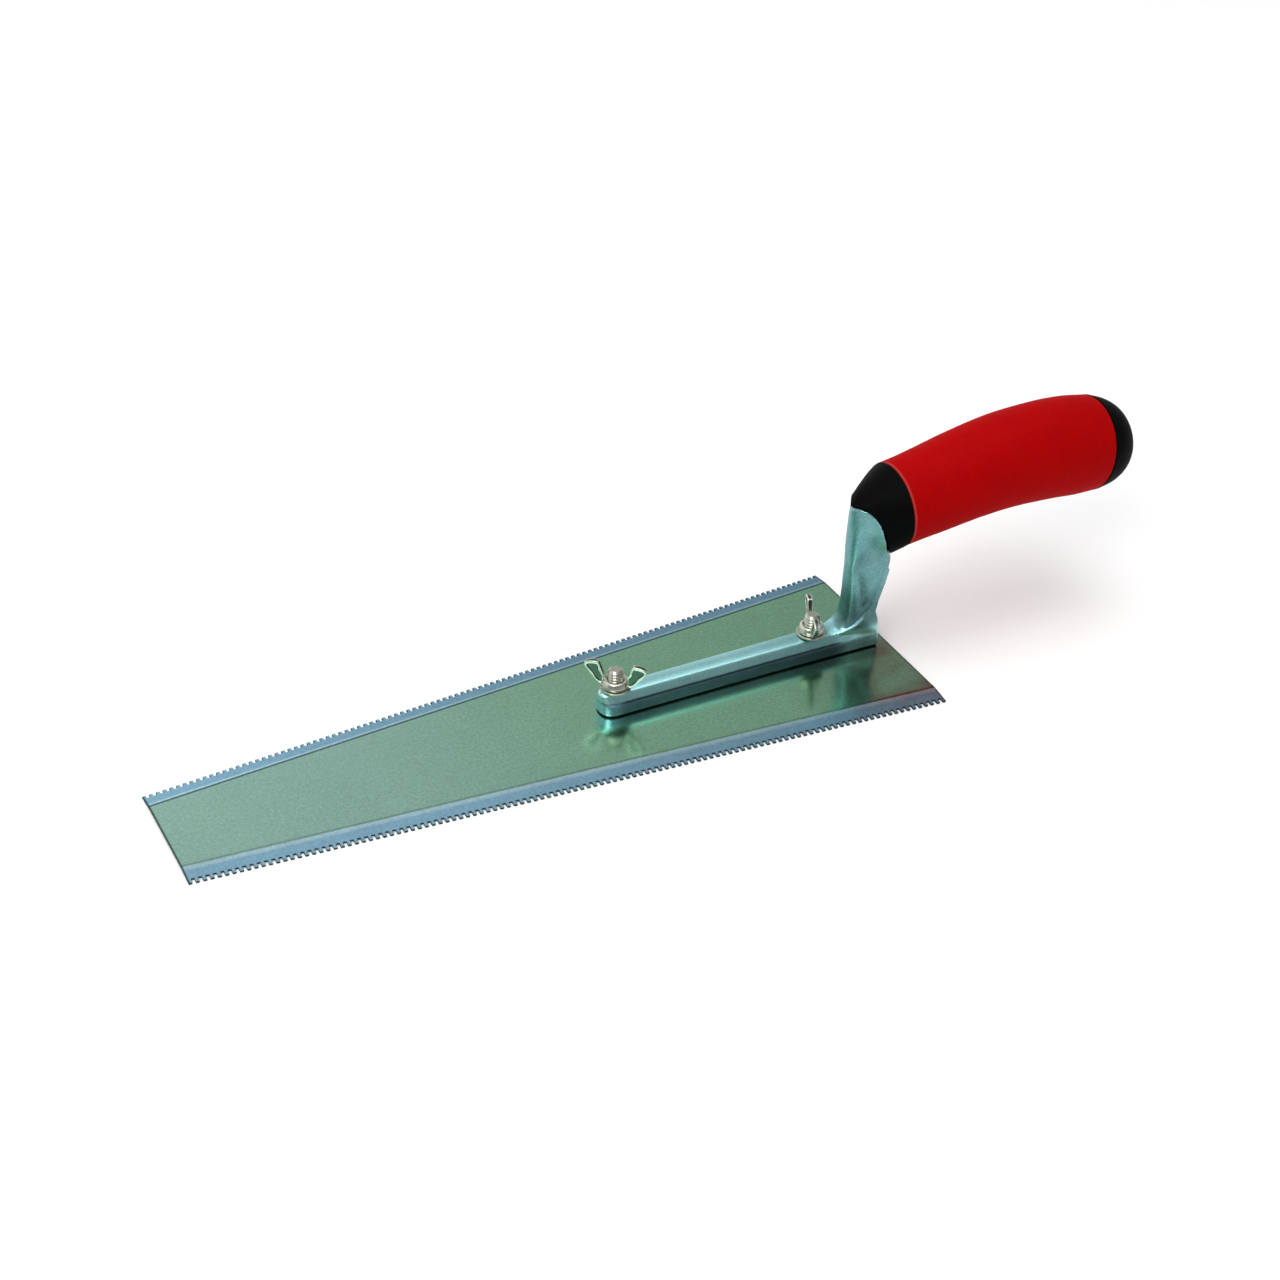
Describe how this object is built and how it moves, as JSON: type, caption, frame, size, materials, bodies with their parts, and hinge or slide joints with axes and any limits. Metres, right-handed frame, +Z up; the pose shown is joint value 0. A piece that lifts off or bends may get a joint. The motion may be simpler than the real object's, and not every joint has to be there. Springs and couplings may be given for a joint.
{
  "type": "notched trowel",
  "caption": "Hand trowel with a tapered blade, finely notched bent edges, a cast mount clamped by wing nuts, and a curved soft-grip handle.",
  "frame": {"origin": "middle of the whole tool's length and width, on the surface that the tooth tips stand on", "axes": "+X from the toe of the blade towards the butt of the handle, +Y across the blade, +Z up"},
  "size_m": [0.417, 0.1016, 0.0919],
  "materials": {
    "blade": "satin spring steel",
    "mount_casting": "die-cast, tumbled",
    "front_blade_bolt": "bright zinc plate",
    "rear_blade_bolt": "bright zinc plate",
    "front_washer": "bright zinc plate",
    "rear_washer": "bright zinc plate",
    "front_wing_nut": "bright zinc plate",
    "rear_wing_nut": "bright zinc plate",
    "front_collar": "fine moulded grain",
    "handle_core": "moulded",
    "grip_sleeve": "soft matte grain",
    "butt_cap": "fine moulded grain",
    "tang_bolt": "bright zinc plate",
    "tang_washer": "bright zinc plate"
  },
  "bodies": {
    "tool_body": {"blade": "blade", "mount_casting": "mount_casting", "front_blade_bolt": "front_blade_bolt", "rear_blade_bolt": "rear_blade_bolt", "front_collar": "front_collar", "handle_core": "handle_core", "grip_sleeve": "grip_sleeve", "butt_cap": "butt_cap", "tang_bolt": "tang_bolt", "tang_washer": "tang_washer"},
    "front_washer_body": {"front_washer": "front_washer"},
    "front_nut_body": {"front_wing_nut": "front_wing_nut"},
    "rear_washer_body": {"rear_washer": "rear_washer"},
    "rear_nut_body": {"rear_wing_nut": "rear_wing_nut"}
  },
  "joints": [
    {"name": "front_nut_rise", "type": "slide", "parent": "tool_body", "child": "front_washer_body", "axis": [0, 0, 1], "range_m": [0, 0.0063]},
    {"name": "front_nut_turn", "type": "hinge", "parent": "front_washer_body", "child": "front_nut_body", "pos_m": [-0.0256, 0, 0.01306], "axis": [0, 0, 1], "range_deg": [0, 1800]},
    {"name": "rear_nut_rise", "type": "slide", "parent": "tool_body", "child": "rear_washer_body", "axis": [0, 0, 1], "range_m": [0, 0.0063]},
    {"name": "rear_nut_turn", "type": "hinge", "parent": "rear_washer_body", "child": "rear_nut_body", "pos_m": [0.0633, 0, 0.01306], "axis": [0, 0, 1], "range_deg": [0, 1800]}
  ],
  "couplings": [
    {"joint": "front_nut_turn", "follows": "front_nut_rise", "rad_per_m": 4947.4},
    {"joint": "rear_nut_turn", "follows": "rear_nut_rise", "rad_per_m": 4947.4}
  ]
}
